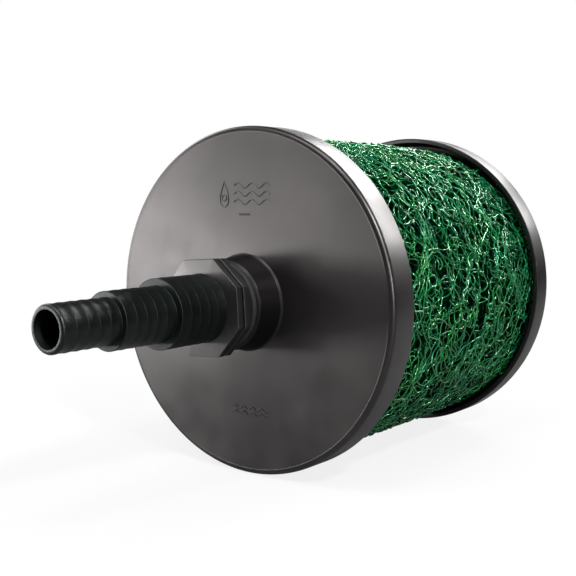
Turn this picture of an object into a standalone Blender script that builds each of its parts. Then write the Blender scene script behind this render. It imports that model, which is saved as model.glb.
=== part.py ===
"""Foot valve: a suction strainer with a spring-loaded check valve behind a stepped hose tail.

The valve lies on its side. Its flow axis is the Y axis: the hose tail points to -Y, the rear cap to +Y, +Z is up,
and the origin is on the axis halfway between the hose tip and the rear face.
Places along the axis are "stations": the distance behind the front cap's outer rim, negative towards the hose.
"""

import math

import bmesh
import bpy
from mathutils import Vector

# ---- driving dimensions, metres -------------------------------------------------------------------------------
GAP = 0.0003                # clearance between pieces that touch on the real valve

BODY_LENGTH = 0.194         # front cap rim to rear cap face
CAP_RADIUS = 0.100
CAP_WALL = 0.003            # skirt thickness
CAP_PLATE = 0.0035          # disc thickness
CAP_EDGE = 0.0025           # radius of the rounded rim
FRONT_SKIRT = 0.0206
REAR_SKIRT = 0.0167
CAP_SEGMENTS = 36

BOSS_REACH = 0.0178         # how far the threaded boss stands in front of the rim
BOSS_RADIUS = 0.0255        # behind the chamfer of its front edge
BOSS_ROOT_RADIUS = 0.0270   # the boss has moulding draft
BOSS_EDGE = 0.0014          # chamfer round the boss's front edge
BOSS_FILLET = 0.0010        # where the boss meets the disc
THREAD_BORE = 0.0212        # female thread, as its clearance cylinder

HOSE_REACH = 0.140          # hose tip to the front cap's rim
HOSE_STEPS = (              # each step of the hose tail: where it starts, crest radius, bore radius
    (-0.1400, 0.0120, 0.0094),
    (-0.1042, 0.0150, 0.0116),
    (-0.0700, 0.0188, 0.0148),
)
BARBS_PER_STEP = 5
BARB_DEPTH = 0.0007
STEP_CHAMFER = 0.0012
COLLAR_FRONT = -0.0366      # front face of the octagonal spanner collar
COLLAR_APOTHEM = 0.0264     # half the distance across its flats
COLLAR_PLATE = 0.0043
COLLAR_GROOVE = 0.0014
COLLAR_GROOVE_RADIUS = 0.0235
COLLAR_TWIST = math.radians(4)  # the screwed-in tail stops with its octagon turned by this much
SPIGOT_RADIUS = 0.0206      # male thread, as its crest cylinder
SPIGOT_END = 0.0020
SPIGOT_BORE = 0.0166
TAIL_SEGMENTS = 32          # a multiple of 16, so that the octagon's corners fall on vertices

CAGE_OUTER = 0.0533
CAGE_INNER = 0.0503
CAGE_COLUMNS = 24           # every second column is a column of slots
CAGE_SLOTS = 6              # slots in each column
CAGE_SLOT_LENGTH = 0.0200
CAGE_LOCATING_RIB = 0.003   # ribs on both caps that centre the cage from inside
CAGE_RIB_DEPTH = 0.0085
CAGE_SEAL = 0.0020          # thickness of the flat seals at the cage's ends

MAT_INNER = 0.0540
MAT_OUTER = 0.0955
MAT_OUTER_REAR = 0.0915     # the mat is drawn in a little at its rear end
MAT_TAPER_START = 0.120
MAT_END_CLEARANCE = 0.0008
MAT_SEGMENTS = 36

HUB_OUTER = 0.0262          # threaded socket behind the front disc
HUB_END = 0.0100
SCREW_RIB_INNER = 0.0305    # ring behind the front disc that takes the valve's screws
SCREW_RIB_OUTER = 0.0395
SCREW_RIB_END = 0.0123
SCREW_CIRCLE = 0.0350
SCREW_COUNT = 4
SCREW_RADIUS = 0.0017
SCREW_HOLE = 0.0021
SCREW_HEAD_RADIUS = 0.0034
SCREW_HEAD_HEIGHT = 0.0022
SCREW_TIP = 0.0070
SCREW_HOLE_END = 0.0060

VALVE_FLANGE_RADIUS = 0.0400
VALVE_FLANGE = 0.0040
VALVE_OUTER = 0.0290
VALVE_BORE = 0.0255
VALVE_LIP = 0.0215          # the shoulder that holds the spring guide
VALVE_LIP_DEPTH = 0.0050
VALVE_END = 0.0620
VALVE_SEGMENTS = 24         # shared by the barrel and what fits in it, so that their flats line up
PORT_RADIUS = 0.0165
SEAT_FACE = 0.0500
SEAT_LIP_TOP = 0.0490
SEAT_RING_END = 0.0575
ORING_SECTION = 0.0010
ORING_CENTRE_RADIUS = 0.0242
ORING_STATION = 0.0537
CLIP_STATION = 0.0590
CLIP_THICKNESS = 0.0018
CLIP_OUTER = 0.0268
CLIP_INNER = 0.0232

GUIDE_THICKNESS = 0.0030
GUIDE_HUB = 0.0056
GUIDE_BORE = 0.0033
GUIDE_WINDOW_INNER = 0.0075
GUIDE_WINDOW_OUTER = 0.0212
GUIDE_SPOKES = 4
STEM_RADIUS = 0.0029
STEM_FRONT = 0.0140
POPPET_RADIUS = 0.0205
POPPET_DISC = 0.0030
POPPET_BOSS_RADIUS = 0.0060
POPPET_BOSS_START = 0.0390
SEAL_RADIUS = 0.0200
SEAL_THICKNESS = 0.0020
NUT_APOTHEM = 0.0050
NUT_HEIGHT = 0.0040
SPRING_RADIUS = 0.0090
SPRING_WIRE = 0.0007
SPRING_TURNS = 5
SPRING_SAMPLES = 12         # points along each turn
SPRING_SIDES = 5            # sides of the wire's section

END_PLATE_STATION = 0.1570  # the bonded plate inside the cage that takes the clamp stud
END_PLATE_THICKNESS = 0.0035
END_PLATE_HUB = 0.0100
END_PLATE_HUB_END = 0.1710
INSERT_OUTER = 0.0065
INSERT_BORE = 0.0043

CUP_RADIUS = 0.0340         # recess in the rear cap that hides the knob
CUP_FLOOR = 0.1775
STUD_RADIUS = 0.0040
STUD_START = 0.1582
STUD_END = 0.1897
STUD_HOLE = 0.0046
WASHER_THICKNESS = 0.0015
WASHER_RADIUS = 0.0130
KNOB_START = 0.1796
KNOB_TOP = 0.1930
KNOB_BASE_RADIUS = 0.0150
KNOB_LOBE_RADIUS = 0.0225
KNOB_LOBE_DEPTH = 0.0035
KNOB_LOBES = 6
KNOB_SEGMENTS = 36
CIRCLIP_THICKNESS = 0.0012
CIRCLIP_OUTER = 0.0085

CENTRE_STATION = (BODY_LENGTH - HOSE_REACH) / 2
REAR_PLATE_INNER = BODY_LENGTH - CAP_PLATE

BLACK_PLASTIC = ((0.020, 0.021, 0.022), 0.42, 0.0)
TAIL_PLASTIC = ((0.012, 0.015, 0.015), 0.34, 0.0)
GREY_PLASTIC = ((0.10, 0.10, 0.11), 0.45, 0.0)
WHITE_PLASTIC = ((0.72, 0.73, 0.70), 0.45, 0.0)
GREEN_FIBRE = ((0.010, 0.170, 0.075), 0.50, 0.0)
RUBBER = ((0.015, 0.015, 0.016), 0.80, 0.0)
STEEL = ((0.62, 0.62, 0.63), 0.28, 1.0)
BRASS = ((0.72, 0.50, 0.20), 0.30, 1.0)


# ---- helpers --------------------------------------------------------------------------------------------------
def clear_scene():
    for obj in list(bpy.data.objects):
        bpy.data.objects.remove(obj)


def make_material(name, finish):
    """A Principled material from (colour, roughness, metallic)."""
    colour, roughness, metallic = finish
    material = bpy.data.materials.new(name)
    material.use_nodes = True
    shader = material.node_tree.nodes["Principled BSDF"]
    shader.inputs["Base Color"].default_value = (*colour, 1.0)
    shader.inputs["Roughness"].default_value = roughness
    shader.inputs["Metallic"].default_value = metallic
    return material


def add_body(name):
    """An empty on the flow axis that carries the pieces of one moving body."""
    empty = bpy.data.objects.new(name, None)
    bpy.context.scene.collection.objects.link(empty)
    return empty


def add_object(name, mesh_builder, station, finish, body):
    """Turns a bmesh, whose y is a distance behind station, into a named object on the flow axis."""
    bmesh.ops.recalc_face_normals(mesh_builder, faces=mesh_builder.faces)
    mesh = bpy.data.meshes.new(name)
    mesh_builder.to_mesh(mesh)
    mesh_builder.free()
    mesh.shade_smooth()
    mesh.set_sharp_from_angle(angle=math.radians(35))
    obj = bpy.data.objects.new(name, mesh)
    bpy.context.scene.collection.objects.link(obj)
    obj.location = (0, station - CENTRE_STATION, 0)
    if body is not None:
        obj.parent = body
        mesh.materials.append(make_material(name, finish))
    return obj


def round_outline(radius):
    """A circular cross-section."""
    return lambda angle: radius


def polygon_outline(apothem, sides):
    """A regular polygon with a flat at the top, as a radius that depends on the angle."""
    half = math.pi / sides

    def radius_at(angle):
        off_flat = (angle - math.pi / 2 + half) % (2 * half) - half
        return apothem / math.cos(off_flat)

    return radius_at


def lobed_outline(radius, depth, lobes):
    """A circle whose rim swells and sinks in equal lobes."""
    return lambda angle: radius - depth * (1 - math.cos(lobes * angle)) / 2


def on_axis(angle, radius, y):
    return Vector((radius * math.cos(angle), y, radius * math.sin(angle)))


def turned(name, profile, segments, finish, body, sweep=2 * math.pi):
    """A solid turned about the flow axis from a closed profile of (station, radius or outline) points.

    A profile that starts and ends at radius 0 is a solid bar; any other is a ring. A sweep below a full turn
    leaves a gap, closed by flat ends.
    """
    start = profile[0][0]
    full = sweep > 2 * math.pi - 1e-6
    columns = segments if full else segments + 1
    first = 0 if full else math.pi / 2 + (2 * math.pi - sweep) / 2
    builder = bmesh.new()
    rings = []
    for station, shape in profile:
        outline = shape if callable(shape) else round_outline(shape)
        if outline(0) == 0:
            rings.append([builder.verts.new((0, station - start, 0))])
            continue
        angles = [first + sweep * k / segments for k in range(columns)]
        rings.append([builder.verts.new(on_axis(a, outline(a), station - start)) for a in angles])
    is_bar = len(rings[0]) == 1
    pairs = list(zip(rings, rings[1:]))
    if not is_bar:
        pairs.append((rings[-1], rings[0]))
    for one, other in pairs:
        for k in range(segments):
            nxt = (k + 1) % columns
            corners = [one[k % len(one)], one[nxt % len(one)], other[nxt % len(other)], other[k % len(other)]]
            builder.faces.new(list(dict.fromkeys(corners)))
    if not full:
        for column in (0, -1):
            builder.faces.new([ring[column] for ring in rings])
    return add_object(name, builder, start, finish, body)


def arc(centre_station, centre_radius, radius, start_deg, end_deg, steps):
    """Profile points along an arc. 0 degrees points to the rear, 90 degrees away from the axis."""
    points = []
    for k in range(steps + 1):
        angle = math.radians(start_deg + (end_deg - start_deg) * k / steps)
        points.append((centre_station + radius * math.cos(angle), centre_radius + radius * math.sin(angle)))
    return points


def flat_ring(name, station, thickness, inner, outer, segments, finish, body):
    """A plain washer or flat seal."""
    profile = [
        (station, inner),
        (station, outer),
        (station + thickness, outer),
        (station + thickness, inner),
    ]
    return turned(name, profile, segments, finish, body)


def cut(target, cutter):
    """Subtracts a hidden cutter from target."""
    cutter.hide_render = True
    cutter.display_type = "WIRE"
    modifier = target.modifiers.new("cut_" + cutter.name, "BOOLEAN")
    modifier.operation = "DIFFERENCE"
    modifier.object = cutter


def rod_cutter(name, start, end, radius, offset, angle, segments=12):
    """A round cutter parallel to the flow axis, offset from it at an angle."""
    cutter = turned(name, [(start, 0), (start, radius), (end, radius), (end, 0)], segments, None, None)
    cutter.location += on_axis(angle, offset, 0)
    return cutter


# ---- caps -----------------------------------------------------------------------------------------------------
def make_front_cap(body):
    """Skirted disc with the threaded boss in front, and the valve's screw ring and the cage's rib behind."""
    boss_tip = -BOSS_REACH
    rim_inner = CAP_RADIUS - CAP_WALL
    rib_outer = CAGE_INNER - 2 * GAP
    rib_end = CAP_PLATE + CAGE_RIB_DEPTH
    profile = [
        (boss_tip, THREAD_BORE),
        (boss_tip, BOSS_RADIUS - BOSS_EDGE),
        (boss_tip + BOSS_EDGE, BOSS_RADIUS),
        (-BOSS_FILLET, BOSS_ROOT_RADIUS),
        (0, BOSS_ROOT_RADIUS + BOSS_FILLET),
        *arc(CAP_EDGE, CAP_RADIUS - CAP_EDGE, CAP_EDGE, 180, 90, 3),
        (FRONT_SKIRT, CAP_RADIUS),
        (FRONT_SKIRT, rim_inner),
        (CAP_PLATE + 0.002, rim_inner),
        (CAP_PLATE, rim_inner - 0.002),
        (CAP_PLATE, rib_outer),
        (rib_end, rib_outer),
        (rib_end, rib_outer - CAGE_LOCATING_RIB),
        (CAP_PLATE, rib_outer - CAGE_LOCATING_RIB),
        (CAP_PLATE, SCREW_RIB_OUTER),
        (SCREW_RIB_END, SCREW_RIB_OUTER),
        (SCREW_RIB_END, SCREW_RIB_INNER),
        (CAP_PLATE, SCREW_RIB_INNER),
        (CAP_PLATE, HUB_OUTER),
        (HUB_END, HUB_OUTER),
        (HUB_END, THREAD_BORE),
    ]
    cap = turned("front_cap", profile, CAP_SEGMENTS, BLACK_PLASTIC, body)
    for k in range(SCREW_COUNT):
        angle = screw_angle(k)
        past_the_face = SCREW_RIB_END + 0.002
        cut(cap, rod_cutter(f"pilot_{k + 1}", SCREW_HOLE_END, past_the_face, SCREW_HOLE, SCREW_CIRCLE, angle))
    return cap


def make_rear_cap(body):
    """Skirted disc with a central cup for the knob and a rib inside that centres the cage."""
    rim_inner = CAP_RADIUS - CAP_WALL
    skirt_start = BODY_LENGTH - REAR_SKIRT
    rib_outer = CAGE_INNER - 2 * GAP
    rib_start = REAR_PLATE_INNER - CAGE_RIB_DEPTH
    cup_bottom = CUP_FLOOR - 0.003
    profile = [
        (skirt_start, rim_inner),
        (skirt_start, CAP_RADIUS),
        *arc(BODY_LENGTH - CAP_EDGE, CAP_RADIUS - CAP_EDGE, CAP_EDGE, 90, 0, 3),
        (BODY_LENGTH, CUP_RADIUS + 0.001),
        (BODY_LENGTH - 0.001, CUP_RADIUS),
        (CUP_FLOOR, CUP_RADIUS - 0.001),
        (CUP_FLOOR, STUD_HOLE),
        (cup_bottom, STUD_HOLE),
        (cup_bottom, CUP_RADIUS + 0.002),
        (REAR_PLATE_INNER, CUP_RADIUS + 0.003),
        (REAR_PLATE_INNER, rib_outer - CAGE_LOCATING_RIB),
        (rib_start, rib_outer - CAGE_LOCATING_RIB),
        (rib_start, rib_outer),
        (REAR_PLATE_INNER, rib_outer),
        (REAR_PLATE_INNER, rim_inner - 0.002),
        (REAR_PLATE_INNER - 0.002, rim_inner),
    ]
    return turned("rear_cap", profile, CAP_SEGMENTS, BLACK_PLASTIC, body)


# ---- hose tail ------------------------------------------------------------------------------------------------
def barbed_outside(start, end, crest):
    """Profile of one hose step: a chamfered nose, then barbs that ramp up and drop back."""
    points = [(start, crest - STEP_CHAMFER), (start + STEP_CHAMFER, crest)]
    pitch = (end - start - STEP_CHAMFER) / BARBS_PER_STEP
    for k in range(BARBS_PER_STEP - 1):
        valley = start + STEP_CHAMFER + (k + 1) * pitch
        points.append((valley - 0.35 * pitch, crest - 0.2 * BARB_DEPTH))
        points.append((valley, crest - BARB_DEPTH))
    points.append((end, crest))
    return points


def make_hose_tail(body):
    """Three barbed steps, a double octagonal collar and a threaded spigot around one stepped bore."""
    octagon = polygon_outline(COLLAR_APOTHEM, 8)
    step_ends = [step[0] for step in HOSE_STEPS[1:]] + [COLLAR_FRONT]
    profile = [(HOSE_STEPS[0][0], HOSE_STEPS[0][2])]
    for (start, crest, _), end in zip(HOSE_STEPS, step_ends):
        profile += barbed_outside(start, end, crest)
    second_plate = COLLAR_FRONT + COLLAR_PLATE + COLLAR_GROOVE
    collar_end = second_plate + COLLAR_PLATE
    profile += [
        (COLLAR_FRONT, octagon),
        (COLLAR_FRONT + COLLAR_PLATE, octagon),
        (COLLAR_FRONT + COLLAR_PLATE, COLLAR_GROOVE_RADIUS),
        (second_plate, COLLAR_GROOVE_RADIUS),
        (second_plate, octagon),
        (collar_end, octagon),
        (collar_end, SPIGOT_RADIUS),
        (SPIGOT_END - 0.001, SPIGOT_RADIUS),
        (SPIGOT_END, SPIGOT_RADIUS - 0.001),
        (SPIGOT_END, SPIGOT_BORE),
        (COLLAR_FRONT + 0.004, SPIGOT_BORE),
    ]
    for (start, _, bore), (_, _, smaller) in zip(reversed(HOSE_STEPS[1:]), reversed(HOSE_STEPS[:-1])):
        profile.append((start + 0.006, bore))
        profile.append((start + 0.001, smaller))
    tail = turned("hose_tail", profile, TAIL_SEGMENTS, TAIL_PLASTIC, body)
    tail.rotation_euler.y = -COLLAR_TWIST
    return tail


# ---- check valve ----------------------------------------------------------------------------------------------
def screw_angle(k):
    return math.pi / 4 + 2 * math.pi * k / SCREW_COUNT


def make_valve_body(body):
    """Flanged barrel with a front shoulder for the spring guide and a rear groove for the retaining clip."""
    flange_start = SCREW_RIB_END + GAP
    flange_end = flange_start + VALVE_FLANGE
    groove = (CLIP_STATION - CLIP_THICKNESS / 2 - GAP, CLIP_STATION + CLIP_THICKNESS / 2 + GAP)
    profile = [
        (flange_start, VALVE_LIP),
        (flange_start, VALVE_FLANGE_RADIUS),
        (flange_end, VALVE_FLANGE_RADIUS),
        (flange_end, VALVE_OUTER + 0.001),
        (flange_end + 0.001, VALVE_OUTER),
        (VALVE_END, VALVE_OUTER),
        (VALVE_END, VALVE_BORE),
        (groove[1], VALVE_BORE),
        (groove[1], CLIP_OUTER + GAP),
        (groove[0], CLIP_OUTER + GAP),
        (groove[0], VALVE_BORE),
        (flange_start + VALVE_LIP_DEPTH, VALVE_BORE),
        (flange_start + VALVE_LIP_DEPTH, VALVE_LIP),
    ]
    barrel = turned("valve_body", profile, VALVE_SEGMENTS, GREY_PLASTIC, body)
    for k in range(SCREW_COUNT):
        start, end = flange_start - 0.002, flange_end + 0.002
        cut(barrel, rod_cutter(f"clear_{k + 1}", start, end, SCREW_HOLE, SCREW_CIRCLE, screw_angle(k)))
    return barrel


def make_valve_screw(k, body):
    """Pan-head self-tapping screw through the valve's flange."""
    under_head = SCREW_RIB_END + GAP + VALVE_FLANGE + GAP
    profile = [
        (SCREW_TIP, 0),
        (SCREW_TIP + 0.001, SCREW_RADIUS),
        (under_head, SCREW_RADIUS),
        (under_head, SCREW_HEAD_RADIUS),
        (under_head + 0.6 * SCREW_HEAD_HEIGHT, SCREW_HEAD_RADIUS),
        (under_head + SCREW_HEAD_HEIGHT, 0.6 * SCREW_HEAD_RADIUS),
        (under_head + SCREW_HEAD_HEIGHT, 0),
    ]
    screw = turned(f"valve_screw_{k + 1}", profile, 12, STEEL, body)
    screw.location += on_axis(screw_angle(k), SCREW_CIRCLE, 0)
    return screw


def make_spring_guide(body):
    """Spoked disc against the barrel's shoulder: its hub guides the poppet's stem."""
    start = SCREW_RIB_END + GAP + VALVE_LIP_DEPTH + GAP
    end = start + GUIDE_THICKNESS
    profile = [
        (start, GUIDE_BORE),
        (start, VALVE_BORE - GAP),
        (end, VALVE_BORE - GAP),
        (end, GUIDE_HUB),
        (end + 0.003, GUIDE_HUB - 0.0005),
        (end + 0.003, GUIDE_BORE),
    ]
    guide = turned("spring_guide", profile, VALVE_SEGMENTS, GREY_PLASTIC, body)
    window_sweep = math.radians(62)
    for k in range(GUIDE_SPOKES):
        middle = math.pi / 4 + 2 * math.pi * k / GUIDE_SPOKES
        cut(guide, sector_cutter(f"window_{k + 1}", start - 0.001, end + 0.001, middle, window_sweep))
    return guide


def sector_cutter(name, start, end, middle, sweep):
    """A cutter shaped as a piece of a ring, for the openings between spokes."""
    window = [
        (start, GUIDE_WINDOW_INNER),
        (start, GUIDE_WINDOW_OUTER),
        (end, GUIDE_WINDOW_OUTER),
        (end, GUIDE_WINDOW_INNER),
    ]
    cutter = turned(name, window, 6, None, None, sweep=sweep)
    middle_as_made = math.pi / 2 + math.pi
    cutter.rotation_euler = (0, middle_as_made - middle, 0)
    return cutter


def make_spring(start, end, body):
    """Compression spring as one closed tube along a helix, with one closed coil at each end."""
    closed = 2.2 * SPRING_WIRE
    open_rise = (end - start - 2 * SPRING_WIRE) - 2 * closed
    builder = bmesh.new()
    rings = []
    for k in range(SPRING_SAMPLES * (SPRING_TURNS + 2) + 1):
        turn = k / SPRING_SAMPLES
        rise = min(turn, 1) * closed
        rise += min(max(turn - 1, 0), SPRING_TURNS) / SPRING_TURNS * open_rise
        rise += max(turn - 1 - SPRING_TURNS, 0) * closed
        ring = []
        for side in range(SPRING_SIDES):
            tilt = 2 * math.pi * side / SPRING_SIDES
            radius = SPRING_RADIUS + SPRING_WIRE * math.cos(tilt)
            y = SPRING_WIRE + rise + SPRING_WIRE * math.sin(tilt)
            ring.append(builder.verts.new(on_axis(2 * math.pi * turn, radius, y)))
        rings.append(ring)
    for one, other in zip(rings, rings[1:]):
        for side in range(SPRING_SIDES):
            nxt = (side + 1) % SPRING_SIDES
            builder.faces.new((one[side], one[nxt], other[nxt], other[side]))
    builder.faces.new(rings[0])
    builder.faces.new(rings[-1])
    return add_object("return_spring", builder, start, STEEL, body)


def make_poppet(body):
    """Valve disc on a stem: the stem slides in the guide, and its rear stub clamps the seal."""
    disc_end = SEAT_LIP_TOP - GAP - SEAL_THICKNESS - GAP
    disc_start = disc_end - POPPET_DISC
    stub_end = disc_end + GAP + SEAL_THICKNESS + NUT_HEIGHT + 0.002
    profile = [
        (STEM_FRONT, 0),
        (STEM_FRONT, STEM_RADIUS - 0.0006),
        (STEM_FRONT + 0.0006, STEM_RADIUS),
        (POPPET_BOSS_START, STEM_RADIUS),
        (POPPET_BOSS_START, POPPET_BOSS_RADIUS),
        (disc_start, POPPET_BOSS_RADIUS),
        (disc_start, POPPET_RADIUS - 0.001),
        (disc_start + 0.001, POPPET_RADIUS),
        (disc_end, POPPET_RADIUS),
        (disc_end, STEM_RADIUS),
        (stub_end, STEM_RADIUS),
        (stub_end, 0),
    ]
    turned("poppet", profile, 24, WHITE_PLASTIC, body)
    flat_ring("poppet_seal", disc_end + GAP, SEAL_THICKNESS, STEM_RADIUS + GAP, SEAL_RADIUS, 24, RUBBER, body)
    nut_start = disc_end + GAP + SEAL_THICKNESS + GAP
    hexagon = polygon_outline(NUT_APOTHEM, 6)
    nut = [
        (nut_start, STEM_RADIUS + GAP),
        (nut_start, hexagon),
        (nut_start + NUT_HEIGHT, hexagon),
        (nut_start + NUT_HEIGHT, STEM_RADIUS + GAP),
    ]
    turned("poppet_nut", nut, 12, STEEL, body)
    return disc_start


def make_seat(body):
    """Seat ring with a raised sealing lip, its O-ring and the C-shaped clip that retains it."""
    outer = VALVE_BORE - GAP
    groove_floor = ORING_CENTRE_RADIUS - ORING_SECTION - GAP
    groove_half = ORING_SECTION + GAP
    profile = [
        (SEAT_FACE, PORT_RADIUS + 0.0005),
        (SEAT_LIP_TOP, PORT_RADIUS + 0.0010),
        (SEAT_LIP_TOP, PORT_RADIUS + 0.0020),
        (SEAT_FACE, PORT_RADIUS + 0.0028),
        (SEAT_FACE, outer),
        (ORING_STATION - groove_half, outer),
        (ORING_STATION - groove_half, groove_floor),
        (ORING_STATION + groove_half, groove_floor),
        (ORING_STATION + groove_half, outer),
        (SEAT_RING_END, outer),
        (SEAT_RING_END, PORT_RADIUS + 0.0020),
        (SEAT_RING_END - 0.002, PORT_RADIUS),
        (SEAT_FACE + 0.001, PORT_RADIUS),
    ]
    turned("seat_ring", profile, VALVE_SEGMENTS, WHITE_PLASTIC, body)
    oring = arc(ORING_STATION, ORING_CENTRE_RADIUS, ORING_SECTION, 0, 360, 6)[:-1]
    turned("seat_oring", oring, VALVE_SEGMENTS, RUBBER, body)
    start, end = CLIP_STATION - CLIP_THICKNESS / 2, CLIP_STATION + CLIP_THICKNESS / 2
    clip = [(start, CLIP_INNER), (start, CLIP_OUTER), (end, CLIP_OUTER), (end, CLIP_INNER)]
    turned("seat_clip", clip, 24, STEEL, body, sweep=math.radians(318))


# ---- cage -----------------------------------------------------------------------------------------------------
def make_cage(start, end, body):
    """Perforated tube: a grid of cells around the axis, with the slot cells left open."""
    solid = ((end - start) - CAGE_SLOTS * CAGE_SLOT_LENGTH) / (CAGE_SLOTS + 1)
    stations = [0.0]
    for _ in range(CAGE_SLOTS):
        stations.append(stations[-1] + solid)
        stations.append(stations[-1] + CAGE_SLOT_LENGTH)
    stations.append(end - start)
    rows = len(stations) - 1

    def is_open(column, row):
        return column % 2 == 1 and row % 2 == 1 and 0 <= row < rows

    builder = bmesh.new()
    skins = []
    for radius in (CAGE_OUTER, CAGE_INNER):
        skin = []
        for y in stations:
            angles = [2 * math.pi * k / CAGE_COLUMNS for k in range(CAGE_COLUMNS)]
            skin.append([builder.verts.new(on_axis(a, radius, y)) for a in angles])
        skins.append(skin)
    for column in range(CAGE_COLUMNS):
        nxt = (column + 1) % CAGE_COLUMNS
        for row in range(rows):
            if is_open(column, row):
                add_slot_walls(builder, skins, column, nxt, row)
                continue
            for skin in skins:
                builder.faces.new((skin[row][column], skin[row][nxt], skin[row + 1][nxt], skin[row + 1][column]))
        for row in (0, rows):
            outer, inner = skins[0][row], skins[1][row]
            builder.faces.new((outer[column], outer[nxt], inner[nxt], inner[column]))
    return add_object("core_cage", builder, start, GREY_PLASTIC, body)


def add_slot_walls(builder, skins, column, nxt, row):
    """The four walls of one slot, joining the tube's outer and inner skins."""
    loop = [(row, column), (row, nxt), (row + 1, nxt), (row + 1, column)]
    for (row_a, column_a), (row_b, column_b) in zip(loop, loop[1:] + loop[:1]):
        outer_a, outer_b = skins[0][row_a][column_a], skins[0][row_b][column_b]
        inner_a, inner_b = skins[1][row_a][column_a], skins[1][row_b][column_b]
        builder.faces.new((outer_a, outer_b, inner_b, inner_a))


def make_end_plate(body):
    """Plate bonded inside the cage, with a hub that holds the brass insert."""
    # a 24-sided cage is narrower than its radius across the flats
    fit = CAGE_INNER * math.cos(math.pi / CAGE_COLUMNS) - GAP
    plate_end = END_PLATE_STATION + END_PLATE_THICKNESS
    profile = [
        (END_PLATE_STATION, INSERT_OUTER + GAP),
        (END_PLATE_STATION, fit),
        (plate_end + 0.004, fit),
        (plate_end + 0.004, fit - 0.003),
        (plate_end, fit - 0.003),
        (plate_end, END_PLATE_HUB + 0.001),
        (plate_end + 0.001, END_PLATE_HUB),
        (END_PLATE_HUB_END, END_PLATE_HUB),
        (END_PLATE_HUB_END, INSERT_OUTER + GAP),
    ]
    turned("cage_end_plate", profile, CAGE_COLUMNS, GREY_PLASTIC, body)
    length = END_PLATE_HUB_END - END_PLATE_STATION
    flat_ring("clamp_insert", END_PLATE_STATION, length, INSERT_BORE, INSERT_OUTER, 16, BRASS, body)


# ---- mat ------------------------------------------------------------------------------------------------------
def make_mat(body):
    """Open fibre mat rolled into a sleeve, as its envelope."""
    start = CAP_PLATE + MAT_END_CLEARANCE
    end = REAR_PLATE_INNER - MAT_END_CLEARANCE
    profile = [
        (start, MAT_INNER),
        (start, MAT_OUTER),
        (MAT_TAPER_START, MAT_OUTER),
        (end, MAT_OUTER_REAR),
        (end, MAT_INNER),
    ]
    return turned("filter_mat", profile, MAT_SEGMENTS, GREEN_FIBRE, body)


# ---- rear clamp -----------------------------------------------------------------------------------------------
def make_clamp(cover, knob_body):
    """Washer on the cover, and the knob with its moulded-in stud and the clip that keeps it on the cover."""
    flat_ring("knob_washer", CUP_FLOOR + GAP, WASHER_THICKNESS, STUD_HOLE, WASHER_RADIUS, 20, RUBBER, cover)
    stud = [
        (STUD_START, 0),
        (STUD_START, STUD_RADIUS - 0.0008),
        (STUD_START + 0.0008, STUD_RADIUS),
        (STUD_END, STUD_RADIUS),
        (STUD_END, 0),
    ]
    turned("clamp_stud", stud, 16, STEEL, knob_body)
    clip_start = CUP_FLOOR - 0.003 - 2 * GAP - CIRCLIP_THICKNESS
    ring = [
        (clip_start, STUD_RADIUS + GAP),
        (clip_start, CIRCLIP_OUTER),
        (clip_start + CIRCLIP_THICKNESS, CIRCLIP_OUTER),
        (clip_start + CIRCLIP_THICKNESS, STUD_RADIUS + GAP),
    ]
    turned("stud_clip", ring, 16, STEEL, knob_body, sweep=math.radians(290))
    lobed = lobed_outline(KNOB_LOBE_RADIUS, KNOB_LOBE_DEPTH, KNOB_LOBES)
    softer = lobed_outline(KNOB_LOBE_RADIUS - 0.0012, KNOB_LOBE_DEPTH, KNOB_LOBES)
    socket = STUD_RADIUS + GAP
    socket_end = STUD_END + GAP
    knob = [
        (socket_end, 0),
        (socket_end, socket),
        (KNOB_START, socket),
        (KNOB_START, KNOB_BASE_RADIUS),
        (KNOB_START + 0.0025, KNOB_BASE_RADIUS),
        (KNOB_START + 0.0037, softer),
        (KNOB_START + 0.0049, lobed),
        (KNOB_TOP - 0.0020, lobed),
        (KNOB_TOP - 0.0008, softer),
        (KNOB_TOP, 0),
    ]
    turned("clamp_knob", knob, KNOB_SEGMENTS, BLACK_PLASTIC, knob_body)


# ---- assembly -------------------------------------------------------------------------------------------------
def build():
    clear_scene()
    housing = add_body("housing")
    poppet_body = add_body("poppet_body")
    carrier = add_body("tail_carrier")
    tail = add_body("tail")
    mat_pack = add_body("mat_pack")
    cover = add_body("rear_cover")
    knob_body = add_body("knob")
    tail.parent = carrier
    cover.parent = mat_pack
    knob_body.parent = cover

    make_front_cap(housing)
    make_valve_body(housing)
    for k in range(SCREW_COUNT):
        make_valve_screw(k, housing)
    gasket_thickness = SCREW_RIB_END - HUB_END - GAP
    flat_ring("valve_gasket", HUB_END + GAP, gasket_thickness, VALVE_LIP, HUB_OUTER, 24, RUBBER, housing)
    make_spring_guide(housing)
    make_seat(housing)
    disc_start = make_poppet(poppet_body)
    guide_face = SCREW_RIB_END + GAP + VALVE_LIP_DEPTH + GAP + GUIDE_THICKNESS
    make_spring(guide_face + GAP, disc_start - GAP, housing)

    seal_start = CAP_PLATE + GAP
    seal_inner = CAGE_INNER - GAP
    cage_start = seal_start + CAGE_SEAL + GAP
    rear_seal_start = REAR_PLATE_INNER - GAP - CAGE_SEAL
    flat_ring("front_cage_seal", seal_start, CAGE_SEAL, seal_inner, CAGE_OUTER, CAP_SEGMENTS, RUBBER, housing)
    make_cage(cage_start, rear_seal_start - GAP, housing)
    make_end_plate(housing)

    make_hose_tail(tail)
    tail_gasket_start = -BOSS_REACH - GAP - 0.0028
    flat_ring("tail_gasket", tail_gasket_start, 0.0028, THREAD_BORE, 0.0242, TAIL_SEGMENTS, RUBBER, carrier)

    make_mat(mat_pack)
    make_rear_cap(cover)
    flat_ring("rear_cage_seal", rear_seal_start, CAGE_SEAL, seal_inner, CAGE_OUTER, CAP_SEGMENTS, RUBBER, cover)
    make_clamp(cover, knob_body)


build()
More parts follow.
